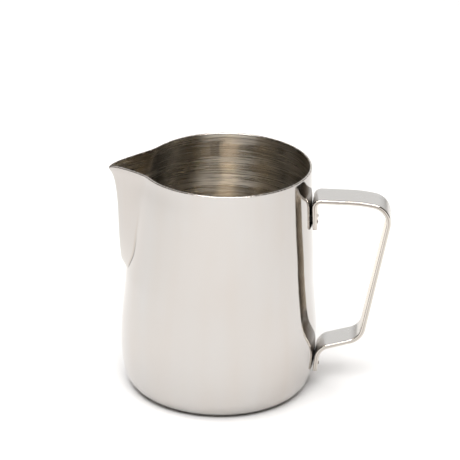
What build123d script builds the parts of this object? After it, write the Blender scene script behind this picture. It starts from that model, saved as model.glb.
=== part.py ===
from build123d import *
from math import atan2, cos, degrees, hypot, pi, radians, sin, sqrt
import os

# Milk frothing pitcher: a deep-drawn steel jug with a pressed pouring spout, and a bent strap handle
# spot-welded to its back. Millimetres. The origin is the centre of the base, on the table. +Z is up,
# the spout points along -X and the handle along +X, and the jug is symmetric about the XZ plane.

# ---------------------------------------------------------------- driving dimensions

HEIGHT = 108.0             # table to rim
WALL = 1.0                 # sheet thickness of the drawn jug, base included
BASE_CORNER = 7.0          # outside radius where the base turns up into the side
BASE_CORNER_TURN = 60      # degrees that this corner turns before it eases into the belly
BASE_RADIUS = 36.0         # flat of the base

STRAP_WIDTH = 15.0
STRAP_THICKNESS = 2.0
STRAP_EDGE = 0.4           # broken edges of the strap
TAB_CORNER = 0.9           # rounded corners at both ends of the strap
STRAP_GAP = 0.15           # the flat tabs rest this close to the round jug

WELD_DIAMETER = 2.4
WELD_PITCH = 7.0           # two welds side by side on each tab
WELD_DEPTH = 0.5           # how far a weld nugget reaches into the jug wall
WELD_PROUD = 0.45          # how far it stands out of the tab
WELD_ROUND = 0.4           # rounding of its top edge
UPPER_WELD_HEIGHT = 83.1
LOWER_WELD_HEIGHT = 12.4

TOLERANCE = 0.1            # for telling a strap's edges and faces apart by their size

# ---------------------------------------------------------------- the jug's horizontal sections

# The outside of the jug at each height. Below the spout a section is a plain circle. Above it, the
# circle meets the spout: two straight flanks that close on a rounded nose.
#   z       height of the section
#   body    radius of the round body
#   reach   how far the nose of the spout stands from the axis
#   flank   angle between each flank and the direction of the spout, in degrees
#   nose    radius of the nose
#   pinch   how far the front of the body is drawn in beside the spout
#   blend   softness of the crease between the spout and the body
NO_SPOUT = {"reach": 38.0, "flank": 75.0, "nose": 6.0, "pinch": 0.0, "blend": 0.4}
ROUND_SECTIONS = [
    (5.6, 43.05),
    (8.6, 43.95),
    (14.0, 44.8),
    (24.0, 45.2),
    (34.0, 44.85),
    (44.0, 44.05),
    (51.5, 43.5),
    (54.8, 43.3),
]
SPOUT_SECTIONS = [
    {"z": 56.8, "body": 43.2, "reach": 43.5, "flank": 72, "nose": 6.5, "pinch": 0.3, "blend": 0.4},
    {"z": 58.8, "body": 43.1, "reach": 45.0, "flank": 65.5, "nose": 6.5, "pinch": 0.9, "blend": 0.4},
    {"z": 61.8, "body": 42.95, "reach": 45.8, "flank": 60.2, "nose": 6.5, "pinch": 1.6, "blend": 0.4},
    {"z": 67.0, "body": 42.75, "reach": 46.3, "flank": 58.1, "nose": 6.0, "pinch": 2.2, "blend": 0.5},
    {"z": 80.0, "body": 42.0, "reach": 46.95, "flank": 52.8, "nose": 5.0, "pinch": 2.9, "blend": 0.8},
    {"z": 88.0, "body": 41.6, "reach": 47.35, "flank": 50.9, "nose": 4.3, "pinch": 3.25, "blend": 1.0},
    {"z": 95.0, "body": 41.25, "reach": 48.1, "flank": 48.0, "nose": 3.3, "pinch": 3.75, "blend": 1.1},
    {"z": 99.0, "body": 41.05, "reach": 48.9, "flank": 44.6, "nose": 2.7, "pinch": 4.2, "blend": 1.2},
    {"z": 102.0, "body": 40.9, "reach": 50.2, "flank": 41.9, "nose": 2.1, "pinch": 4.6, "blend": 1.2},
    {"z": 104.2, "body": 40.8, "reach": 51.5, "flank": 40.2, "nose": 1.6, "pinch": 4.8, "blend": 1.2},
    {"z": 106.6, "body": 40.7, "reach": 51.2, "flank": 41.6, "nose": 1.3, "pinch": 4.8, "blend": 1.2},
    {"z": 109.0, "body": 40.6, "reach": 51.2, "flank": 43.2, "nose": 1.3, "pinch": 4.7, "blend": 1.2},
]
PINCH_SPREAD = 115.0       # the pinch fades out at this angle from the spout, in degrees

# The rim seen from the side: level at the handle, sinking gently towards the spout and more at its tip.
RIM_LINE = [(-54.0, -6.3), (-51.6, -4.3), (-50.0, -3.2), (-47.2, -2.3), (-43.1, -1.7), (-38.0, -1.25),
            (-32.4, -0.9), (-26.6, -0.57), (-20.0, -0.3), (-13.4, -0.12), (-5.0, -0.02), (3.5, 0.0),
            (12.0, 0.0)]
RIM_CUTTER_REACH = 60.0    # half the width of the block that trims the rim, wider than the jug
RIM_CUTTER_RISE = 10.0

POINTS_PER_SIDE = 32       # points on half of a section
POINT_CROWDING = 1.7       # above 1 the points stand closer together towards the nose
CORNER_STEPS = 5           # sections around the base corner


def soft_larger(a, b, blend):
    """The larger of two radii, with the corner between them rounded."""
    return (a + b + sqrt((a - b) ** 2 + blend**2)) / 2


def section_radius(angle, section, inset):
    """Radius of the wall at an angle (radians) from the spout, inset from the outside surface."""
    turn = abs(angle)
    fade = min(degrees(turn) / PINCH_SPREAD, 1.0)
    body = section["body"] - inset - section["pinch"] * cos(fade * pi / 2) ** 2
    centre = section["reach"] - section["nose"]
    nose = section["nose"] - inset
    flank = radians(section["flank"])
    nose_end = atan2(nose * cos(flank), centre + nose * sin(flank))
    if turn < nose_end:
        spout = centre * cos(turn) + sqrt(nose**2 - (centre * sin(turn)) ** 2)
    else:
        spout = (centre * sin(flank) + nose) / sin(min(flank + turn, pi / 2))
    return soft_larger(body, spout, section["blend"])


def section_face(section, inset):
    """One horizontal section of the jug, as a flat face."""
    points = []
    for index in range(-POINTS_PER_SIDE, POINTS_PER_SIDE):
        share = abs(index) / POINTS_PER_SIDE
        angle = pi * share**POINT_CROWDING * (1 if index > 0 else -1)
        radius = section_radius(angle, section, inset)
        points.append((-radius * cos(angle), -radius * sin(angle), section["z"]))
    outline = Edge.make_spline([Vector(*point) for point in points], periodic=True)
    return Face(Wire([outline]))


def jug_volume(inset):
    """The solid inside the jug's outer surface (inset 0) or inner surface (inset WALL)."""
    corner = BASE_CORNER - inset
    rows = []
    for step in range(CORNER_STEPS + 1):
        turn = radians(BASE_CORNER_TURN * step / CORNER_STEPS)
        rows.append((BASE_CORNER - corner * cos(turn), BASE_RADIUS + corner * sin(turn) + inset))
    sections = [{"z": z, "body": body} | NO_SPOUT for z, body in rows + ROUND_SECTIONS]
    return loft([section_face(section, inset) for section in sections + SPOUT_SECTIONS])


def rim_cutter():
    """Everything above the rim line."""
    line = [(x, HEIGHT + dip) for x, dip in RIM_LINE]
    with BuildSketch(Plane.XZ) as side:
        with BuildLine():
            front = Spline(*line)
            Polyline(front @ 1, (RIM_CUTTER_REACH, HEIGHT), (RIM_CUTTER_REACH, HEIGHT + RIM_CUTTER_RISE),
                     (line[0][0], HEIGHT + RIM_CUTTER_RISE), front @ 0)
        make_face()
    return extrude(side.sketch, amount=RIM_CUTTER_REACH, both=True)


def body_radius(height):
    """Radius of the round body at a height, between the two sections around it."""
    rows = ROUND_SECTIONS + [(section["z"], section["body"]) for section in SPOUT_SECTIONS]
    for (z0, r0), (z1, r1) in zip(rows, rows[1:]):
        if z0 <= height <= z1:
            return r0 + (r1 - r0) * (height - z0) / (z1 - z0)
    return rows[-1][1]


# ---------------------------------------------------------------- the handle's strap

ARM_HEIGHT = 94.25         # middle line of the level upper arm
ARM_END = (63.3, 94.25)    # where the upper arm starts to curve down to the grip
GRIP_TOP = (77.5, 91.8)
GRIP_FOOT = (66.0, 27.0)
UPPER_TAB_END = 80.2
LOWER_TAB_TOP = 21.1
LOWER_TAB_END = 9.3
UPPER_TAB_LEAN = -0.055    # outward travel per millimetre of rise, along the jug's side
LOWER_TAB_LEAN = 0.09
STRAP_BENDS = [3.0, 56.0, 8.4, 8.4, 7.0]


def tab_line(weld_height, lean, height):
    """A point of a tab's middle line in the XZ plane, at a height."""
    rest = body_radius(weld_height) + STRAP_GAP + STRAP_THICKNESS / 2
    return (rest + lean * (height - weld_height), height)


# Corners of the strap's middle line in the XZ plane, from the end of the upper tab over the arm, down
# the grip and along the lower arm to the end of the lower tab. STRAP_BENDS has the bend at each corner.
STRAP_CORNERS = [
    tab_line(UPPER_WELD_HEIGHT, UPPER_TAB_LEAN, UPPER_TAB_END),
    tab_line(UPPER_WELD_HEIGHT, UPPER_TAB_LEAN, ARM_HEIGHT),
    ARM_END,
    GRIP_TOP,
    GRIP_FOOT,
    tab_line(LOWER_WELD_HEIGHT, LOWER_TAB_LEAN, LOWER_TAB_TOP),
    tab_line(LOWER_WELD_HEIGHT, LOWER_TAB_LEAN, LOWER_TAB_END),
]


def strap():
    """The bent strap, with rounded ends and broken edges."""
    with BuildLine(Plane.XZ) as middle:
        FilletPolyline(*STRAP_CORNERS, radius=STRAP_BENDS)
    path = middle.wire()
    start = Plane(origin=path @ 0, x_dir=(0, 1, 0), z_dir=path % 0)
    blank = sweep(start * Rectangle(STRAP_WIDTH, STRAP_THICKNESS), path=path)
    end_area = STRAP_WIDTH * STRAP_THICKNESS
    flats = blank.faces().filter_by(GeomType.PLANE)
    ends = [face for face in flats if abs(face.area - end_area) < TOLERANCE]
    corners = [edge for face in ends for edge in face.edges() if edge.length < STRAP_THICKNESS + TOLERANCE]
    rounded = fillet(corners, TAB_CORNER)
    broken = [edge for edge in rounded.edges() if abs(edge.length - STRAP_THICKNESS) > TOLERANCE]
    return fillet(broken, STRAP_EDGE)


# ---------------------------------------------------------------- spot welds


def weld_nugget(height, lean, side):
    """One weld: a round slug through the tab and into the jug wall, domed where it stands proud."""
    slope = hypot(1, lean)
    inner_face = body_radius(height) + STRAP_GAP
    seat = Plane(origin=(inner_face, side * WELD_PITCH / 2, height), x_dir=(0, 1, 0),
                 z_dir=(1 / slope, 0, -lean / slope))
    bulge = (WELD_PITCH / 2) ** 2 / (2 * inner_face)
    depth = WELD_DEPTH + bulge + STRAP_GAP
    length = depth + STRAP_THICKNESS + WELD_PROUD
    slug = Cylinder(WELD_DIAMETER / 2, length, align=(Align.CENTER, Align.CENTER, Align.MIN))
    slug = fillet(slug.edges().sort_by(Axis.Z)[-1], WELD_ROUND)
    return seat * Pos(0, 0, -depth) * slug


def weld_pair(height, lean):
    return [weld_nugget(height, lean, side) for side in (-1, 1)]


# ---------------------------------------------------------------- the pieces

upper_welds = weld_pair(UPPER_WELD_HEIGHT, UPPER_TAB_LEAN)
lower_welds = weld_pair(LOWER_WELD_HEIGHT, LOWER_TAB_LEAN)

jug = jug_volume(0) - jug_volume(WALL) - rim_cutter()
handle = strap()
for weld in upper_welds + lower_welds:
    jug = jug - weld
    handle = handle - weld

PIECES = {
    "jug_body": jug,
    "handle_strap": handle,
    "upper_spot_welds": Compound(children=upper_welds),
    "lower_spot_welds": Compound(children=lower_welds),
}

os.makedirs("parts", exist_ok=True)
for name, piece in PIECES.items():
    export_step(piece, f"parts/{name}.step")
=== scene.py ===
import math

import bmesh
import bpy
import numpy as np
from mathutils import Matrix, Vector


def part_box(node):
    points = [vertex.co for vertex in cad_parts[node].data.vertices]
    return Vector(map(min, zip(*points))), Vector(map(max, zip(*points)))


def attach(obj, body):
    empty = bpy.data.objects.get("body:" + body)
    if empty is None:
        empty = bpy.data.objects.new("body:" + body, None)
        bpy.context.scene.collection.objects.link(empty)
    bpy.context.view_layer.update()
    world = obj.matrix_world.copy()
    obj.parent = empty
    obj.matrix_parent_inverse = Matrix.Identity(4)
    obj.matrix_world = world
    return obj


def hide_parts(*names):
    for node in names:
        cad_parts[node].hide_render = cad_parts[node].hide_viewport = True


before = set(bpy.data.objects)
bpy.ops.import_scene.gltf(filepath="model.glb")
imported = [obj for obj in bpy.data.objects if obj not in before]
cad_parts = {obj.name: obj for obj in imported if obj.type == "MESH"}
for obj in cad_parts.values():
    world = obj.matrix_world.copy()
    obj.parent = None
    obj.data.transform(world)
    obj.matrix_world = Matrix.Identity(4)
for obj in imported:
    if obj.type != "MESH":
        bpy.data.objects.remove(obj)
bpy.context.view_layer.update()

# A milk frothing pitcher on a white studio floor. The CAD frame gives the places: the origin is the centre
# of the base, +Z is up, the spout points along -X and the handle along +X. Shapes are worked out in
# millimetres, as the design is, and turned into metres when a mesh is made.

MM = 0.001


def box_mm(node):
    """Lowest and highest corner of a CAD node, in millimetres."""
    low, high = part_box(node)
    return low / MM, high / MM


JUG_TOP = box_mm("jug_body")[1]
STRAP_LOW, STRAP_HIGH = box_mm("handle_strap")

# ---------------------------------------------------------------- driving sizes, millimetres

RIM_HEIGHT = round(JUG_TOP.z, 1)
WALL = 1.0
BASE_RADIUS = 36.0
BASE_CORNER = 7.0           # radius of the rounded foot
BASE_CORNER_TURN = 60.0     # degrees of it before the wall takes over
RIM_ROUND = 0.42

STRAP_WIDTH = STRAP_HIGH.y - STRAP_LOW.y
STRAP_THICKNESS = 2.0
STRAP_EDGE = 0.5            # rounding along the strap's edges
TAB_CORNER = 0.9            # rounding of a tab's two corners
STRAP_GAP = 0.15            # between a tab and the jug's wall
ARM_HEIGHT = 94.25
UPPER_WELD_HEIGHT, UPPER_TAB_LEAN, UPPER_TAB_END = 83.1, -0.055, 80.2
LOWER_WELD_HEIGHT, LOWER_TAB_LEAN, LOWER_TAB_END = 12.4, 0.09, 9.3
LOWER_TAB_TOP = 21.1
STRAP_BENDS = [3.0, 56.0, 8.4, 8.4, 7.0]

# The outside of the jug at chosen heights. See jug_radius() for how each column is used.
SECTION_COLUMNS = ("z", "body", "reach", "flank", "nose", "pinch", "blend")
SECTIONS = np.array([
    (3.5, 42.06, 38.0, 75.0, 6.0, 0.0, 0.3),
    (5.6, 43.05, 38.0, 75.0, 6.0, 0.0, 0.3),
    (8.6, 43.95, 38.0, 75.0, 6.0, 0.0, 0.3),
    (14.0, 44.80, 38.0, 75.0, 6.0, 0.0, 0.3),
    (24.0, 45.20, 38.0, 75.0, 6.0, 0.0, 0.3),
    (34.0, 44.85, 38.0, 75.0, 6.0, 0.0, 0.3),
    (44.0, 44.05, 38.0, 75.0, 6.0, 0.0, 0.3),
    (51.5, 43.50, 38.0, 75.0, 6.0, 0.0, 0.3),
    (54.8, 43.30, 41.8, 76.0, 6.5, 0.0, 0.25),
    (56.8, 43.20, 43.5, 74.0, 6.5, 0.12, 0.2),
    (58.8, 43.10, 45.0, 68.65, 6.5, 0.35, 0.15),
    (61.8, 42.95, 45.8, 64.05, 6.5, 0.75, 0.12),
    (67.0, 42.75, 46.3, 60.65, 6.0, 1.45, 0.12),
    (80.0, 42.00, 46.95, 53.75, 5.0, 2.6, 0.3),
    (88.0, 41.60, 47.35, 51.0, 4.3, 3.15, 0.6),
    (95.0, 41.25, 48.1, 47.55, 3.3, 3.7, 1.0),
    (99.0, 41.05, 48.9, 44.6, 2.7, 4.2, 1.2),
    (102.0, 40.9, 50.2, 41.9, 2.1, 4.6, 1.2),
    (104.2, 40.8, 51.5, 40.2, 1.6, 4.8, 1.2),
    (106.6, 40.7, 51.2, 41.6, 1.3, 4.8, 1.2),
    (109.0, 40.6, 51.2, 43.2, 1.3, 4.7, 1.2),
])
PINCH_SPREAD = 115.0        # degrees from the spout at which the pinch has faded out
SPOUT_FOOT = 54.8           # height of the spout's lowest point
FOOT_SETBACK = 4.0          # below it, the spout's section is drawn this far back inside the body
CREASE_BOTTOM = 60.0        # the mesh columns follow the crease down to this height, then run straight
CREASE_SEARCH = np.radians(np.linspace(0.0, 48.0, 481))
CREASE_REACH = 4.0          # the crease's attribute stops counting at this distance
RIM_BEND_START = 75.0       # above this height the mesh rows bend to follow the rim

# The rim seen from the side, as x and the dip below the full height.
RIM_LINE = np.array([(-54.0, -6.3), (-51.6, -4.3), (-50.0, -3.2), (-47.2, -2.3), (-43.1, -1.7), (-38.0, -1.25),
                     (-32.4, -0.9), (-26.6, -0.57), (-20.0, -0.3), (-13.4, -0.12), (-5.0, -0.02), (3.5, 0.0),
                     (12.0, 0.0)])

# How finely each surface is cut. Columns crowd towards the crease by a power.
NOSE_COLUMNS, FLANK_COLUMNS, BODY_COLUMNS, CROWDING = 10, 30, 100, 1.35
WALL_HEIGHTS = np.concatenate([np.linspace(4.4, 12.0, 9), np.linspace(13.0, 53.0, 28), np.linspace(53.4, 63.4, 26),
                               np.linspace(64.5, 100.0, 36), np.linspace(100.7, RIM_HEIGHT, 12)])
BASE_RINGS = [4.0, 10.0, 18.0, 26.0, 32.0, 35.0]
CORNER_STEPS, RIM_STEPS = 12, 6
STRAP_STEP = 0.8
STRAP_CORNER_STEPS, STRAP_FACE_STEPS, STRAP_EDGE_STEPS = 6, 10, 3
STRAP_END_STOPS = [0.0, 0.02, 0.06, 0.12, 0.2, 0.32, 0.5, 0.7, 0.9, 1.3, 2.0, 2.8]
STRAP_END_REACH = 3.2
WELD_STEPS = 40

# A weld mark from its outside to its middle: share of its radius, and share of its height. The first ring is
# sunk below the tab's face, in millimetres.
WELD_PROFILE = [(1.0, -0.9), (1.0, 0.0), (0.97, 0.10), (0.9, 0.16), (0.8, 0.14), (0.72, 0.16), (0.64, 0.36),
                (0.52, 0.62), (0.38, 0.84), (0.22, 0.97), (0.1, 1.0)]
WELD_SHRINK, WELD_LOWER, WELD_WOBBLE = 0.97, 0.98, 0.02

# ---------------------------------------------------------------- colours and where they change

# Colours, as the share of light each metal gives back. Some carry painted light or shade: the crease's painted
# shade, the inside's painted shade and painted light, the rim's painted highlight, the grip's painted reflection
# and the strap edge's painted shade line.
STEEL, STEEL_PALE, STEEL_WARM = (0.51, 0.49, 0.47), (0.525, 0.513, 0.50), (0.515, 0.48, 0.45)
SPUN_DARK, SPUN_PALE, SPUN_PAINTED_SHADE = (0.52, 0.47, 0.40), (0.97, 0.91, 0.82), (0.16, 0.14, 0.10)
SPOUT_PAINTED_LIGHT, TIP_PAINTED_LIGHT = (0.99, 0.95, 0.86), (0.97, 0.95, 0.91)
CREASE_SHADE_TAN, CREASE_SHADE_DARK = (0.44, 0.375, 0.31), (0.07, 0.06, 0.05)
RIM_HIGHLIGHT_STEEL = (0.60, 0.56, 0.52)
STRAP_STEEL, STRAP_PALE, STRAP_INNER_REFLECTION = (0.62, 0.60, 0.575), (0.635, 0.62, 0.60), (0.70, 0.605, 0.485)
STRAP_EDGE_STEEL, STRAP_SHEAR_AND_SHADE = (0.60, 0.56, 0.515), (0.10, 0.08, 0.065)
WELD_STEEL, WELD_STAIN = (0.40, 0.38, 0.36), (0.28, 0.24, 0.20)

# Painted shade lines beside the crease, for the dark that flank and body mirror into each other, in millimetres:
# distance from it and half width, then the heights they fade over.
TAN_SHADE_LINE, TAN_SHADE_FADE = (-1.1, 1.2), (72, 92)
DARK_SHADE_LINE, DARK_SHADE_FADE = (0.0, 0.85), (66, 79)
SHADE_LINES_START = (59.2, 61.2)

# Places inside the jug, in millimetres along X, and on the grip, along Z, that colours fade over, among them the
# inside's painted shade and painted light and the grip's painted reflection and painted shade line.
PAINTED_SHADE_BY_SPOUT, PAINTED_SHADE_BY_HANDLE = (-31, 6), (26, 40)
SPOUT_LIGHT_PLACES, TIP_LIGHT_PLACES = (-40, -36), (-46, -43)
GRIP_START, GRIP_END, SHEAR_AND_SHADE_RISE = (29, 36), (86, 91), (84, 93)
FAR_WELD = (0, 1)

# ---------------------------------------------------------------- mesh helpers


def cubic(xs, ys):
    """A natural cubic spline through the points, as a function of an array."""
    xs, ys = np.asarray(xs, float), np.asarray(ys, float)
    n, h = len(xs), np.diff(xs)
    rows = np.zeros((n, n))
    right = np.zeros(n)
    rows[0, 0] = rows[-1, -1] = 1.0
    for i in range(1, n - 1):
        rows[i, i - 1:i + 2] = h[i - 1], 2 * (h[i - 1] + h[i]), h[i]
        right[i] = 6 * ((ys[i + 1] - ys[i]) / h[i] - (ys[i] - ys[i - 1]) / h[i - 1])
    bend = np.linalg.solve(rows, right)

    def value(x):
        x = np.clip(np.asarray(x, float), xs[0], xs[-1])
        i = np.clip(np.searchsorted(xs, x) - 1, 0, n - 2)
        a, b = xs[i + 1] - x, x - xs[i]
        return ((bend[i] * a**3 + bend[i + 1] * b**3) / (6 * h[i])
                + (ys[i] / h[i] - bend[i] * h[i] / 6) * a + (ys[i + 1] / h[i] - bend[i + 1] * h[i] / 6) * b)

    return value


def make_piece(name, node, points, faces, material):
    """A mesh object from points in millimetres, riding on the CAD body in place of a CAD node."""
    mesh = bpy.data.meshes.new(name)
    mesh.from_pydata((np.asarray(points) * MM).tolist(), [], faces)
    mesh.polygons.foreach_set("use_smooth", [True] * len(mesh.polygons))
    tidy = bmesh.new()
    tidy.from_mesh(mesh)
    bmesh.ops.recalc_face_normals(tidy, faces=tidy.faces)
    tidy.to_mesh(mesh)
    tidy.free()
    mesh.materials.append(material)
    piece = bpy.data.objects.new(name, mesh)
    bpy.context.scene.collection.objects.link(piece)
    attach(piece, "root")
    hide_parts(node)
    return piece


def ring_faces(rings, count, first=0):
    """Quads between successive closed rings of points, each ring `count` points long."""
    faces = []
    for ring in range(rings - 1):
        a, b = first + ring * count, first + (ring + 1) * count
        for i in range(count):
            j = (i + 1) % count
            faces.append((a + i, a + j, b + j, b + i))
    return faces


# ---------------------------------------------------------------- the jug

spout_rows = SECTIONS[SECTIONS[:, 0] >= SPOUT_FOOT]
body_line = cubic(SECTIONS[:, 0], SECTIONS[:, 1])
spout_line = {name: cubic(spout_rows[:, 0], spout_rows[:, i]) for i, name in enumerate(SECTION_COLUMNS)}
rim_dip = cubic(RIM_LINE[:, 0], RIM_LINE[:, 1])


def jug_section(z, inset):
    """The numbers that shape a horizontal section: the body's radius, the spout's nose and flanks."""
    nose = spout_line["nose"](z)
    setback = np.where(z < SPOUT_FOOT, FOOT_SETBACK, 0.0)
    return {
        "body": body_line(z) - inset,
        "centre": spout_line["reach"](z) - nose - setback,
        "nose": nose - inset,
        "flank": np.radians(spout_line["flank"](z)),
        "pinch": spout_line["pinch"](z),
        "blend": spout_line["blend"](z),
    }


def body_radius(turn, section):
    """Radius of the round body `turn` radians from the spout, drawn in beside the spout by `pinch`."""
    fade = np.minimum(np.degrees(turn) / PINCH_SPREAD, 1.0)
    return section["body"] - section["pinch"] * np.cos(fade * math.pi / 2) ** 2


def flank_radius(turn, section):
    """Radius of the spout's straight flank, carried on past its ends."""
    centre, nose, flank = section["centre"], section["nose"], section["flank"]
    return (centre * np.sin(flank) + nose) / np.sin(np.minimum(flank + turn, math.pi / 2))


def nose_turn(section):
    """Where the spout's rounded nose runs into its flank, in radians from the spout."""
    centre, nose, flank = section["centre"], section["nose"], section["flank"]
    return np.arctan2(nose * np.cos(flank), centre + nose * np.sin(flank))


def jug_radius(turn, section):
    """Radius of the wall at `turn` radians from the spout, either side of it.

    The spout is a rounded nose and two straight flanks. The wall is the larger of spout and body, with the
    crease between them softened by `blend`."""
    body = body_radius(turn, section)
    centre, nose = section["centre"], section["nose"]
    round_part = centre * np.cos(turn) + np.sqrt(np.maximum(nose**2 - (centre * np.sin(turn)) ** 2, 0.0))
    spout = np.where(turn < nose_turn(section), round_part, flank_radius(turn, section))
    return (body + spout + np.sqrt((body - spout) ** 2 + section["blend"] ** 2)) / 2


def crease_turn(z, inset):
    """Where the spout's flank meets the round body, in radians from the spout."""
    section = {key: value[..., None] for key, value in jug_section(np.maximum(z, CREASE_BOTTOM), inset).items()}
    turns = CREASE_SEARCH[None, :]
    return CREASE_SEARCH[np.argmax(flank_radius(turns, section) < body_radius(turns, section), axis=1)]


def wall_turns(z, inset):
    """Angles of the mesh columns on one side of each row: they follow the nose and the crease."""
    nose_end = nose_turn(jug_section(np.maximum(z, CREASE_BOTTOM), inset))
    crease = crease_turn(z, inset)
    nose = np.linspace(0, 1, NOSE_COLUMNS, endpoint=False)[None, :] * nose_end[:, None]
    share = np.linspace(0, 1, FLANK_COLUMNS, endpoint=False)[None, :]
    share = 1 - (1 - share) ** CROWDING
    flank = nose_end[:, None] + share * (crease - nose_end)[:, None]
    share = np.linspace(0, 1, BODY_COLUMNS + 1)[None, :] ** CROWDING
    body = crease[:, None] + share * (math.pi - crease)[:, None]
    return np.concatenate([nose, flank, body], axis=1)


def wall_rows(inset, z_values, top_drop):
    """Rows of points up the wall. Near the rim each row bends to follow the rim line, less top_drop."""
    turns = wall_turns(z_values, inset)
    z = np.repeat(z_values[:, None], turns.shape[1], axis=1)
    lift = np.clip((z - RIM_BEND_START) / (RIM_HEIGHT - RIM_BEND_START), 0, 1)
    lift = lift * lift * (3 - 2 * lift)
    radius = jug_radius(turns, jug_section(z, inset))
    for _ in range(3):  # the rim's dip depends on the radius, and the radius on the height
        height = z + lift * (rim_dip(-radius * np.cos(turns)) - top_drop)
        radius = jug_radius(turns, jug_section(height, inset))
    return turns, radius, height


def close_rows(turns, radius, height):
    """Mirror half rows about the XZ plane into closed rings of points."""
    half = np.stack([-radius * np.cos(turns), radius * np.sin(turns), height], axis=-1)
    other = half[:, -2:0:-1] * np.array([1, -1, 1])
    return np.concatenate([half, other], axis=1)


def jug_profile_rows(inset):
    """Rings from the centre of the base, round the corner and up the wall to just under the rim."""
    corner = BASE_CORNER - inset
    foot = BASE_CORNER - corner * math.cos(math.radians(BASE_CORNER_TURN))
    turns, radius, height = wall_rows(inset, np.concatenate([[foot], WALL_HEIGHTS]), RIM_ROUND)
    profile = [(ring, inset) for ring in BASE_RINGS]
    for step in range(CORNER_STEPS):
        turn = math.radians(BASE_CORNER_TURN * step / CORNER_STEPS)
        profile.append((BASE_RADIUS + corner * math.sin(turn), BASE_CORNER - corner * math.cos(turn)))
    shape = (len(profile), turns.shape[1])
    low_radius, low_height = (np.broadcast_to(column[:, None], shape) for column in np.array(profile).T)
    low = close_rows(np.broadcast_to(turns[0], shape), low_radius, low_height)
    return np.concatenate([low, close_rows(turns, radius, height)], axis=0)


def rim_rows(outer, inner):
    """Rings that round the rim over, from the last outer ring to the last inner ring."""
    across = inner - outer
    width = np.linalg.norm(across[:, :2], axis=1, keepdims=True)
    rows = []
    for ring, way, steps in ((outer, 1, range(1, RIM_STEPS + 1)), (inner, -1, range(RIM_STEPS - 1, 0, -1))):
        for step in steps:
            turn = math.radians(90 * step / RIM_STEPS)
            share = RIM_ROUND * (1 - math.cos(turn)) / width
            row = ring + way * across * share
            row[:, 2] = ring[:, 2] + RIM_ROUND * math.sin(turn)
            rows.append(row)
    return np.array(rows)


def crease_offsets(ring_count, outer_count, count):
    """For each point of the shell, millimetres from the outside crease, negative on the spout's side."""
    turns, radius, _ = wall_rows(0.0, WALL_HEIGHTS, RIM_ROUND)
    half = (turns - crease_turn(WALL_HEIGHTS, 0.0)[:, None]) * radius
    half = np.clip(half, -CREASE_REACH, CREASE_REACH)
    offsets = np.full((ring_count, count), CREASE_REACH)
    offsets[outer_count - len(half):outer_count] = np.concatenate([half, half[:, -2:0:-1]], axis=1)
    return np.append(offsets.ravel(), [CREASE_REACH, CREASE_REACH])


def build_jug(outside, inside, rim):
    """The drawn jug: one closed shell, outside, rim and inside."""
    outer = jug_profile_rows(0.0)
    inner = jug_profile_rows(WALL)
    edge = rim_rows(outer[-1], inner[-1])
    rings = np.concatenate([outer, edge, inner[::-1]], axis=0)
    count = rings.shape[1]
    points = rings.reshape(-1, 3)
    faces = ring_faces(len(rings), count)
    bottom, floor = len(points), len(points) + 1
    points = np.concatenate([points, [[0, 0, 0], [0, 0, WALL]]])
    last = (len(rings) - 1) * count
    for i in range(count):
        j = (i + 1) % count
        faces.append((bottom, j, i))
        faces.append((floor, last + i, last + j))
    piece = make_piece("jug_shell", "jug_body", points, faces, outside)
    piece.data.materials.append(inside)
    piece.data.materials.append(rim)
    outside_slot, inside_slot, rim_slot = 0, 1, 2
    slots = ([outside_slot] * (len(outer) - 1) * count + [rim_slot] * (len(edge) + 1) * count
             + [inside_slot] * (len(inner) - 1) * count + [outside_slot, inside_slot] * count)
    piece.data.polygons.foreach_set("material_index", slots)
    offset = piece.data.attributes.new("from_crease", "FLOAT", "POINT")
    offset.data.foreach_set("value", crease_offsets(len(rings), len(outer), count))
    return piece


# ---------------------------------------------------------------- the handle's strap


def tab_inner(weld_height, lean, height):
    """Distance of a tab's inner face from the axis."""
    rest = np.interp(weld_height, SECTIONS[:, 0], SECTIONS[:, 1]) + STRAP_GAP
    return rest + lean * (height - weld_height)


def tab_line(weld_height, lean, height):
    """A point of a tab's middle line."""
    return tab_inner(weld_height, lean, height) + STRAP_THICKNESS / 2, height


# The strap's middle line, from the end of the upper tab to the end of the lower one, as X and Z. The arm bends
# down gently over its length, then sharply into the grip, and the grip turns back into the lower arm.
STRAP_CORNERS = [
    tab_line(UPPER_WELD_HEIGHT, UPPER_TAB_LEAN, UPPER_TAB_END),
    tab_line(UPPER_WELD_HEIGHT, UPPER_TAB_LEAN, ARM_HEIGHT),
    (63.3, ARM_HEIGHT),
    (77.5, 91.8),
    (66.0, 27.0),
    tab_line(LOWER_WELD_HEIGHT, LOWER_TAB_LEAN, LOWER_TAB_TOP),
    tab_line(LOWER_WELD_HEIGHT, LOWER_TAB_LEAN, LOWER_TAB_END),
]


def bent_line(corners, bends, step):
    """Points along a line through the corners with a round bend at each inner one, and the directions."""
    corners = [np.array(c, float) for c in corners]
    pieces = []
    start = corners[0]
    for before, corner, after, radius in zip(corners, corners[1:], corners[2:], bends):
        into = (corner - before) / np.linalg.norm(corner - before)
        out = (after - corner) / np.linalg.norm(after - corner)
        cross = into[0] * out[1] - into[1] * out[0]
        turn = math.atan2(cross, float(into @ out))
        reach = radius * math.tan(abs(turn) / 2)
        bend_start = corner - into * reach
        count = max(2, int(np.linalg.norm(bend_start - start) / step))
        pieces += [(start + (bend_start - start) * k / count, into) for k in range(count)]
        side = np.array([-into[1], into[0]]) * math.copysign(1, turn)
        centre = bend_start + side * radius
        count = max(8, int(abs(turn) * radius / (step * 0.5)))
        for k in range(count):
            angle = turn * k / count
            turned = np.array([[math.cos(angle), -math.sin(angle)], [math.sin(angle), math.cos(angle)]])
            pieces.append((centre + turned @ (bend_start - centre), turned @ into))
        start = corner + out * reach
    count = max(2, int(np.linalg.norm(corners[-1] - start) / step))
    last = (corners[-1] - corners[-2]) / np.linalg.norm(corners[-1] - corners[-2])
    pieces += [(start + (corners[-1] - start) * k / count, last) for k in range(count + 1)]
    return pieces


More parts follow.
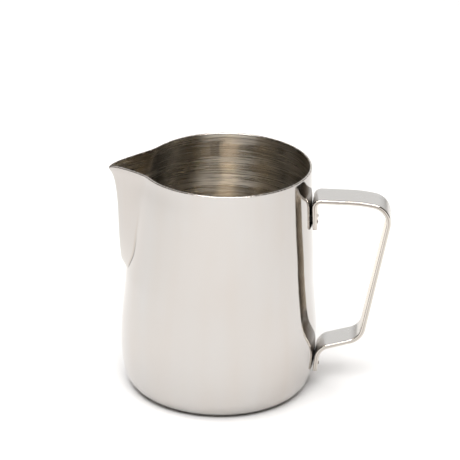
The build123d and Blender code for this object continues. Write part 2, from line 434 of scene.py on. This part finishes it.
def strap_section(half_width, half_thickness):
    """A rounded rectangle, as (across, out) points."""
    points = []
    edge = min(STRAP_EDGE, half_thickness * 0.98, half_width * 0.98)
    for side_a, side_b, start in ((1, 1, 0), (-1, 1, 90), (-1, -1, 180), (1, -1, 270)):
        for k in range(STRAP_CORNER_STEPS + 1):
            angle = math.radians(start + 90 * k / STRAP_CORNER_STEPS)
            points.append((side_a * (half_width - edge) + edge * math.cos(angle),
                           side_b * (half_thickness - edge) + edge * math.sin(angle)))
        if start in (0, 180):
            reach = side_a * (half_width - edge)
            for k in range(1, STRAP_FACE_STEPS):
                points.append((reach * (1 - 2 * k / STRAP_FACE_STEPS), side_b * half_thickness))
        else:
            reach = side_b * (half_thickness - edge)
            for k in range(1, STRAP_EDGE_STEPS):
                points.append((side_a * half_width, reach * (1 - 2 * k / STRAP_EDGE_STEPS)))
    return points


def lay_along(piece, stops, rings):
    """Texture coordinates in metres: along the strap, and round its section."""
    round_section = np.cumsum([0.0] + [float(np.linalg.norm(np.subtract(b, a)))
                                       for a, b in zip(rings[len(rings) // 2], rings[len(rings) // 2][1:])])
    layer = piece.data.uv_layers.new(name="along_strap")
    count = len(round_section)
    for loop in piece.data.loops:
        ring, spot = divmod(loop.vertex_index, count)
        layer.data[loop.index].uv = (stops[ring] * MM, round_section[spot] * MM)


def rounding(radius, to_end):
    """How far a corner of this radius has drawn in at a distance from the strap's end."""
    if to_end >= radius:
        return 0.0
    return radius - math.sqrt(radius**2 - (radius - to_end) ** 2)


def build_strap(material):
    """The bent strap: rings of its rounded section laid along its middle line."""
    line = bent_line(STRAP_CORNERS, STRAP_BENDS, STRAP_STEP)
    travelled = [0.0]
    for (a, _), (b, _) in zip(line, line[1:]):
        travelled.append(travelled[-1] + float(np.linalg.norm(b - a)))
    total = travelled[-1]
    stops = sorted(set(STRAP_END_STOPS + [total - stop for stop in STRAP_END_STOPS]
                       + [stop for stop in travelled if STRAP_END_REACH < stop < total - STRAP_END_REACH]))
    place = np.array([p for p, _ in line])
    heading = np.array([d for _, d in line])
    rings = []
    for stop in stops:
        p = np.array([np.interp(stop, travelled, place[:, k]) for k in range(2)])
        d = np.array([np.interp(stop, travelled, heading[:, k]) for k in range(2)])
        d /= np.linalg.norm(d)
        out = np.array([d[1], -d[0]])
        to_end = min(stop, total - stop)
        half_width = STRAP_WIDTH / 2 - rounding(TAB_CORNER, to_end) - rounding(STRAP_EDGE, to_end)
        half_thickness = STRAP_THICKNESS / 2 - rounding(STRAP_EDGE, to_end)
        rings.append([(p[0] + out[0] * b, a, p[1] + out[1] * b)
                      for a, b in strap_section(half_width, half_thickness)])
    count = len(rings[0])
    points = [point for ring in rings for point in ring]
    faces = ring_faces(len(rings), count)
    faces.append(tuple(range(count)))
    faces.append(tuple(range(len(points) - count, len(points))))
    piece = make_piece("handle_bar", "handle_strap", points, faces, material)
    lay_along(piece, stops, rings)
    return piece


# ---------------------------------------------------------------- spot welds


def build_welds(name, node, height, lean, material):
    """Two weld marks on the outer face of a tab: a sunk ring round a raised centre."""
    low, high = box_mm(node)
    diameter = high.z - low.z
    pitch = (high.y - low.y) - diameter
    slope = math.hypot(1, lean)
    outward = np.array([1 / slope, 0, -lean / slope])
    up = np.array([lean / slope, 0, 1 / slope])
    across = np.array([0, 1, 0])
    face = np.array([tab_inner(height, lean, height), 0, height]) + outward * STRAP_THICKNESS
    proud = (high.x - face[0]) * WELD_LOWER
    radius = diameter / 2 * WELD_SHRINK
    points, faces = [], []
    for side in (-1, 1):
        seat = face + across * side * pitch / 2
        first = len(points)
        for share, rise in WELD_PROFILE:
            rise = rise * proud if rise >= 0 else rise
            for k in range(WELD_STEPS):
                angle = 2 * math.pi * k / WELD_STEPS
                wobble = 1 + WELD_WOBBLE * math.sin(3 * angle + side)
                spoke = across * math.cos(angle) + up * math.sin(angle)
                points.append(seat + outward * rise + spoke * radius * share * wobble)
        faces += ring_faces(len(WELD_PROFILE), WELD_STEPS, first)
        faces.append(tuple(range(first, first + WELD_STEPS)))
        points.append(seat + outward * proud)
        tip, last = len(points) - 1, first + (len(WELD_PROFILE) - 1) * WELD_STEPS
        for k in range(WELD_STEPS):
            faces.append((last + k, last + (k + 1) % WELD_STEPS, tip))
    return make_piece(name, node, points, faces, material)


# ---------------------------------------------------------------- shader nodes


class Nodes:
    """A shader tree, with short ways to add nodes to it."""

    def __init__(self, tree):
        self.tree = tree

    def add(self, kind, **values):
        node = self.tree.nodes.new(kind)
        for key, value in values.items():
            setattr(node, key, value)
        return node

    def feed(self, socket, value):
        """Set an input to another node's output, or to a value."""
        if isinstance(value, bpy.types.NodeSocket):
            self.tree.links.new(value, socket)
        else:
            socket.default_value = value

    def spread(self, value, low, high, start=0.3, end=0.7, **settings):
        """Stretch a value between start and end over low to high."""
        node = self.add("ShaderNodeMapRange", **settings)
        for name, number in (("From Min", start), ("From Max", end), ("To Min", low), ("To Max", high)):
            node.inputs[name].default_value = number
        self.feed(node.inputs["Value"], value)
        return node.outputs[0]

    def maths(self, operation, a, b=0.0):
        node = self.add("ShaderNodeMath", operation=operation)
        self.feed(node.inputs[0], a)
        self.feed(node.inputs[1], b)
        return node.outputs[0]

    def times(self, a, b):
        return self.maths("MULTIPLY", a, b)

    def plus(self, a, b):
        return self.maths("ADD", a, b)


class Finish(Nodes):
    """A metal material, with noise in the object's own coordinates. Sizes and places are in millimetres."""

    def __init__(self, name, tint, roughness):
        self.material = bpy.data.materials.new(name)
        self.material.use_nodes = True
        super().__init__(self.material.node_tree)
        self.tree.nodes.clear()
        self.shader = self.add("ShaderNodeBsdfPrincipled")
        self.feed(self.add("ShaderNodeOutputMaterial").inputs[0], self.shader.outputs[0])
        self.set("Metallic", 1.0)
        self.set("Base Color", (*tint, 1.0))
        self.set("Roughness", roughness)
        self.bumps = None
        self.coordinates = self.add("ShaderNodeTexCoord")

    def set(self, name, value):
        """Set an input of the shader."""
        self.feed(self.shader.inputs[name], value)

    def noise(self, size, detail, roughness=0.5, source="Object", shift=0.0):
        """Noise with features of about size (x, y, z)."""
        mapping = self.add("ShaderNodeMapping")
        mapping.inputs["Scale"].default_value = [1 / (side * MM) for side in size]
        mapping.inputs["Location"].default_value = (shift, shift, shift)
        self.feed(mapping.inputs["Vector"], self.coordinates.outputs[source])
        noise = self.add("ShaderNodeTexNoise")
        noise.inputs["Scale"].default_value = 1.0
        noise.inputs["Detail"].default_value = detail
        noise.inputs["Roughness"].default_value = roughness
        self.feed(noise.inputs["Vector"], mapping.outputs[0])
        return noise.outputs["Fac"]

    def blend(self, factor, first, second):
        """A colour between two colours."""
        node = self.add("ShaderNodeMix", data_type="RGBA")
        self.feed(node.inputs["Factor"], factor)
        for socket, value in ((node.inputs["A"], first), (node.inputs["B"], second)):
            self.feed(socket, value if isinstance(value, bpy.types.NodeSocket) else (*value, 1.0))
        return node.outputs["Result"]

    def along(self, axis, source="Object"):
        """A coordinate, in metres."""
        split = self.add("ShaderNodeSeparateXYZ")
        self.feed(split.inputs[0], self.coordinates.outputs[source])
        return split.outputs[axis]

    def fade(self, axis, places, low=0.0, high=1.0):
        """From low to high between two places along an axis of the object."""
        return self.spread(self.along(axis), low, high, places[0] * MM, places[1] * MM)

    def pulse(self, value, middle, reach):
        """One where value is middle, falling to zero at reach to either side."""
        away = self.maths("ABSOLUTE", self.maths("SUBTRACT", value, middle))
        return self.spread(away, 1.0, 0.0, 0.0, reach)

    def attribute(self, name):
        return self.add("ShaderNodeAttribute", attribute_name=name).outputs["Fac"]

    def bump(self, height, depth):
        """Add relief: height 0 to 1 stands for this depth."""
        node = self.add("ShaderNodeBump")
        node.inputs["Strength"].default_value = 1.0
        node.inputs["Distance"].default_value = depth * MM
        self.feed(node.inputs["Height"], height)
        if self.bumps is not None:
            self.feed(node.inputs["Normal"], self.bumps)
        self.bumps = node.outputs[0]
        self.set("Normal", self.bumps)

    def grooves_round_z(self, anisotropy):
        """Grooves that run round the Z axis spread a highlight up and down."""
        self.set("Tangent", self.add("ShaderNodeTangent", direction_type="RADIAL", axis="Z").outputs[0])
        self.set("Anisotropic", anisotropy)
        self.set("Anisotropic Rotation", 0.25)


# ---------------------------------------------------------------- materials


def polished_outside():
    """Mirror polish: faint blotches, a trace of upright drawing marks, very slow ripples and painted shade lines
    along the crease.
    """
    finish = Finish("polished_outside", STEEL, 0.07)
    blotches = finish.noise((26, 26, 40), 3)
    upright = finish.noise((9, 9, 160), 2)
    tone = finish.plus(finish.times(blotches, 0.5), finish.times(upright, 0.5))
    colour = finish.blend(finish.spread(tone, 0, 1), STEEL_PALE, STEEL_WARM)
    offset = finish.attribute("from_crease")
    above_foot = finish.fade("Z", SHADE_LINES_START)
    # Painted shade in the crease: a tan line on the spout's side of it and a dark line on it.
    for line, heights, strength, shade in ((TAN_SHADE_LINE, TAN_SHADE_FADE, 0.7, CREASE_SHADE_TAN),
                                           (DARK_SHADE_LINE, DARK_SHADE_FADE, 1.0, CREASE_SHADE_DARK)):
        mark = finish.times(finish.times(finish.pulse(offset, *line), finish.fade("Z", heights, 1, 0)), above_foot)
        colour = finish.blend(finish.times(mark, strength), colour, shade)
    finish.set("Base Color", colour)
    fine = finish.noise((3, 3, 3), 4)
    finish.set("Roughness", finish.spread(finish.plus(fine, upright), 0.05, 0.11, 0.7, 1.3))
    finish.bump(upright, 0.02)
    finish.bump(finish.noise((45, 45, 45), 1), 0.10)
    return finish.material


def spun_inside():
    """Spun finish: fine and coarse lines round the axis, painted shade beside the spout and by the handle, and
    painted light inside the spout.
    """
    finish = Finish("spun_inside", STEEL, 0.34)
    hair = finish.noise((14, 14, 0.32), 2, 0.75)
    band = finish.noise((30, 30, 0.8), 2, 0.6, shift=3.0)
    wide = finish.noise((60, 60, 7.0), 2, shift=7.0)
    lines = finish.plus(finish.times(hair, 0.6), finish.times(band, 0.4))
    colour = finish.blend(finish.spread(lines, 0, 1, 0.40, 0.60), SPUN_DARK, SPUN_PALE)
    # Painted shade: the inside is darkened beside the spout and towards the handle.
    middle, reach = PAINTED_SHADE_BY_SPOUT
    shade = finish.plus(finish.pulse(finish.along("X"), middle * MM, reach * MM), finish.fade("X", PAINTED_SHADE_BY_HANDLE))
    colour = finish.blend(finish.times(shade, 0.7), colour, SPUN_PAINTED_SHADE)
    # Painted light: the inside of the spout and its tip are near white, brighter than the dark they mirror.
    colour = finish.blend(finish.fade("X", SPOUT_LIGHT_PLACES, 1, 0), colour, SPOUT_PAINTED_LIGHT)
    colour = finish.blend(finish.fade("X", TIP_LIGHT_PLACES, 1, 0), colour, TIP_PAINTED_LIGHT)
    finish.set("Base Color", colour)
    finish.set("Roughness", finish.spread(finish.plus(lines, wide), 0.20, 0.34, 0.8, 1.2))
    finish.bump(lines, 0.05)
    finish.grooves_round_z(0.92)
    return finish.material


def rim_polish():
    """The rim is polished, with small nicks, and painted a brighter steel than the wall as a painted highlight."""
    finish = Finish("rim_polish", RIM_HIGHLIGHT_STEEL, 0.25)
    finish.set("Roughness", finish.spread(finish.noise((2, 2, 2), 4), 0.2, 0.32))
    finish.bump(finish.noise((1.2, 1.2, 1.2), 3), 0.003)
    return finish.material


def satin_strap():
    """Satin steel, brushed along the strap, with a few longer scratches. The sheared edges are smoother. The grip's
    inner face has a painted reflection, and the near edge a dark line that is partly painted shade.
    """
    finish = Finish("satin_strap", STRAP_STEEL, 0.25)
    grain = finish.noise((14, 0.18, 1), 4, 0.65, source="UV")
    scratches = finish.noise((30, 0.5, 1), 2, 0.8, source="UV", shift=5.0)
    cloud = finish.noise((9, 9, 9), 3)

    # The way round the strap's section starts at its far edge and goes first over the face that looks into the
    # handle's opening, then over the near edge.
    round_section = finish.along("Y", "UV")
    corner = math.pi / 2 * STRAP_EDGE
    flat_width, flat_edge = STRAP_WIDTH - 2 * STRAP_EDGE, STRAP_THICKNESS - 2 * STRAP_EDGE
    near_edge = 2 * corner + flat_width + flat_edge / 2
    on_edge = finish.pulse(round_section, near_edge * MM, (corner + flat_edge / 2) * MM)
    on_edge = finish.maths("MINIMUM", finish.times(on_edge, 6.0), 1.0)
    on_face = finish.pulse(round_section, (corner + flat_width / 2) * MM, STRAP_WIDTH / 2 * MM)
    on_face = finish.maths("MINIMUM", finish.times(on_face, 8.0), 1.0)
    on_grip = finish.times(finish.fade("Z", GRIP_START), finish.fade("Z", GRIP_END, 1, 0))
    # A dark line along the near edge: partly the sheared edge's darker fracture zone, partly painted shade for the
    # dark the rounded edge mirrors. It grows darker towards the upper arm.
    sheared_and_shaded = finish.times(finish.pulse(round_section, near_edge * MM, 0.5 * MM),
                           finish.fade("Z", SHEAR_AND_SHADE_RISE, 0.5, 0.9))

    colour = finish.blend(finish.spread(cloud, 0, 1), STRAP_STEEL, STRAP_PALE)
    # Painted reflection: the grip's inner face is tinted warm brown for the warm light bounced between it and the
    # jug.
    colour = finish.blend(finish.times(on_face, on_grip), colour, STRAP_INNER_REFLECTION)
    colour = finish.blend(on_edge, colour, STRAP_EDGE_STEEL)
    finish.set("Base Color", finish.blend(sheared_and_shaded, colour, STRAP_SHEAR_AND_SHADE))
    satin = finish.spread(finish.plus(grain, cloud), 0.20, 0.28, 0.75, 1.25)
    finish.set("Roughness", finish.times(satin, finish.spread(on_edge, 1.0, 0.3, 0.0, 1.0)))
    finish.bump(finish.plus(grain, scratches), 0.006)
    return finish.material


def weld_metal():
    """Fused metal: dull, uneven and a little stained by the heat."""
    finish = Finish("weld_metal", WELD_STEEL, 0.4)
    grit = finish.noise((0.5, 0.5, 0.5), 4, 0.6)
    stain = finish.noise((1.6, 1.6, 1.6), 2)
    stained = finish.blend(finish.spread(stain, 0, 1), WELD_STEEL, WELD_STAIN)
    finish.set("Base Color", finish.blend(finish.fade("Y", FAR_WELD), stained, STRAP_PALE))
    finish.set("Roughness", finish.spread(grit, 0.3, 0.55))
    finish.bump(grit, 0.06)
    return finish.material


def matt_white(white):
    material = bpy.data.materials.new("floor_white")
    material.use_nodes = True
    shader = material.node_tree.nodes["Principled BSDF"]
    shader.inputs["Base Color"].default_value = (white, white, white, 1)
    shader.inputs["Roughness"].default_value = 1.0
    shader.inputs["Specular IOR Level"].default_value = 0.0
    return material


# ---------------------------------------------------------------- the pieces

steel_pieces = [
    build_jug(polished_outside(), spun_inside(), rim_polish()),
    build_strap(satin_strap()),
    build_welds("upper_weld_marks", "upper_spot_welds", UPPER_WELD_HEIGHT, UPPER_TAB_LEAN, weld_metal()),
    build_welds("lower_weld_marks", "lower_spot_welds", LOWER_WELD_HEIGHT, LOWER_TAB_LEAN, weld_metal()),
]

# ---------------------------------------------------------------- the studio

FLOOR_REACH = 4
FLOOR_WHITE = 0.89
floor_mesh = bpy.data.meshes.new("floor")
floor_mesh.from_pydata([(x * FLOOR_REACH, y * FLOOR_REACH, 0) for x, y in ((-1, -1), (1, -1), (1, 1), (-1, 1))],
                       [], [(0, 1, 2, 3)])
floor = bpy.data.objects.new("floor", floor_mesh)
bpy.context.scene.collection.objects.link(floor)
floor_mesh.materials.append(matt_white(FLOOR_WHITE))

# The world is what the steel mirrors above the floor: bright behind the jug, dark brown to its sides and in
# front, dim overhead. What the camera sees directly is always the floor. The pairs are the parts of a direction
# of length one that each change runs over.
WORLD_BRIGHT, WORLD_DARK, WORLD_CEILING = 1.0, 0.03, 0.25
WORLD_BROWN, BROWN_END = (0.9, 0.66, 0.44, 1), 0.7
SIDES, BACK, CEILING_START, CEILING_SIDES = (0.25, 0.75), (-0.2, 0.3), (0.5, 0.8), (0.3, 0.9)
world = bpy.data.worlds.new("studio")
bpy.context.scene.world = world
world.use_nodes = True
sky = Nodes(world.node_tree)
direction = sky.add("ShaderNodeSeparateXYZ")
sky.feed(direction.inputs[0], sky.add("ShaderNodeTexCoord").outputs["Generated"])


def sky_ramp(value, places, low, high):
    return sky.spread(value, low, high, *places, interpolation_type="SMOOTHSTEP")


sideways = sky.maths("ABSOLUTE", direction.outputs["X"])
behind = sky.times(sky_ramp(sideways, SIDES, 1.0, 0.0), sky_ramp(direction.outputs["Y"], BACK, 0.0, 1.0))
walls = sky.plus(sky.times(behind, WORLD_BRIGHT - WORLD_DARK), WORLD_DARK)
overhead = sky_ramp(direction.outputs["Z"], CEILING_START, 0.0, 1.0)
ceiling = sky_ramp(sideways, CEILING_SIDES, WORLD_CEILING, WORLD_DARK)
level = sky.plus(sky.times(walls, sky.maths("SUBTRACT", 1.0, overhead)), sky.times(overhead, ceiling))
tint = sky.add("ShaderNodeValToRGB")
tint.color_ramp.elements[0].color = WORLD_BROWN
tint.color_ramp.elements[1].color = (1, 1, 1, 1)
tint.color_ramp.elements[1].position = BROWN_END
sky.feed(tint.inputs[0], level)
background = world.node_tree.nodes["Background"]
sky.feed(background.inputs[0], tint.outputs[0])
sky.feed(background.inputs[1], level)


def softbox(name, place, target, size, power, mirrored=False):
    """A rectangular lamp that faces a point. Metres and watts."""
    light = bpy.data.lights.new(name, "AREA")
    light.shape = "RECTANGLE"
    light.size, light.size_y = size
    light.energy = power
    lamp = bpy.data.objects.new(name, light)
    bpy.context.scene.collection.objects.link(lamp)
    lamp.matrix_world = (Matrix.Translation(Vector(place))
                         @ (Vector(target) - Vector(place)).to_track_quat("-Z", "Y").to_matrix().to_4x4())
    lamp.visible_glossy = mirrored
    return lamp


# Three softboxes light the floor. The steel doesn't mirror them.
softbox("overhead_softbox", (0.0, -0.1, 1.4), (0, 0, 0), (2.2, 2.2), 33.0)
softbox("front_softbox", (0.06, -0.85, 1.15), (0, 0, 0), (0.9, 0.5), 9.0)
softbox("side_softbox", (-0.5, -0.05, 1.15), (0, 0, 0), (0.4, 0.4), 1.5)

# One more lights only the steel, and the steel mirrors it.
steel_lamp = softbox("mirrored_softbox", (0.0, -0.80, 1.0), (0, 0, 0.1), (1.5, 0.42), 28.0, mirrored=True)
steel = bpy.data.collections.new("steel_pieces")
for piece in steel_pieces:
    steel.objects.link(piece)
steel_lamp.light_linking.receiver_collection = steel

# ---------------------------------------------------------------- the camera

CAMERA_DISTANCE = 0.972        # from the middle of the jug
CAMERA_TURN = math.radians(4)  # the camera stands this far round towards the handle
CAMERA_ELEVATION = math.radians(24.25)
CAMERA_PITCH = math.radians(-23.085)
CAMERA_YAW = math.radians(-0.279)
CAMERA_ROLL = math.radians(1.16)
CAMERA_LENS, CAMERA_SENSOR = 165.3, 36.0

ground = CAMERA_DISTANCE * math.cos(CAMERA_ELEVATION)
place = Vector((ground * math.sin(CAMERA_TURN), -ground * math.cos(CAMERA_TURN),
                RIM_HEIGHT / 2 * MM + CAMERA_DISTANCE * math.sin(CAMERA_ELEVATION)))
aim = Vector((0, math.cos(CAMERA_PITCH), math.sin(CAMERA_PITCH)))
aim.rotate(Matrix.Rotation(CAMERA_TURN + CAMERA_YAW, 3, "Z"))
right = aim.cross(Vector((0, 0, 1))).normalized()
up = right.cross(aim)
tilted_right = right * math.cos(CAMERA_ROLL) + up * math.sin(CAMERA_ROLL)
tilted_up = up * math.cos(CAMERA_ROLL) - right * math.sin(CAMERA_ROLL)
lens = bpy.data.cameras.new("camera")
lens.sensor_width = CAMERA_SENSOR
lens.lens = CAMERA_LENS
lens.clip_start = 0.05
camera = bpy.data.objects.new("camera", lens)
bpy.context.scene.collection.objects.link(camera)
camera.matrix_world = Matrix.Translation(place) @ Matrix((tilted_right, tilted_up, -aim)).transposed().to_4x4()
bpy.context.scene.camera = camera
bpy.context.scene.view_settings.view_transform = "Standard"
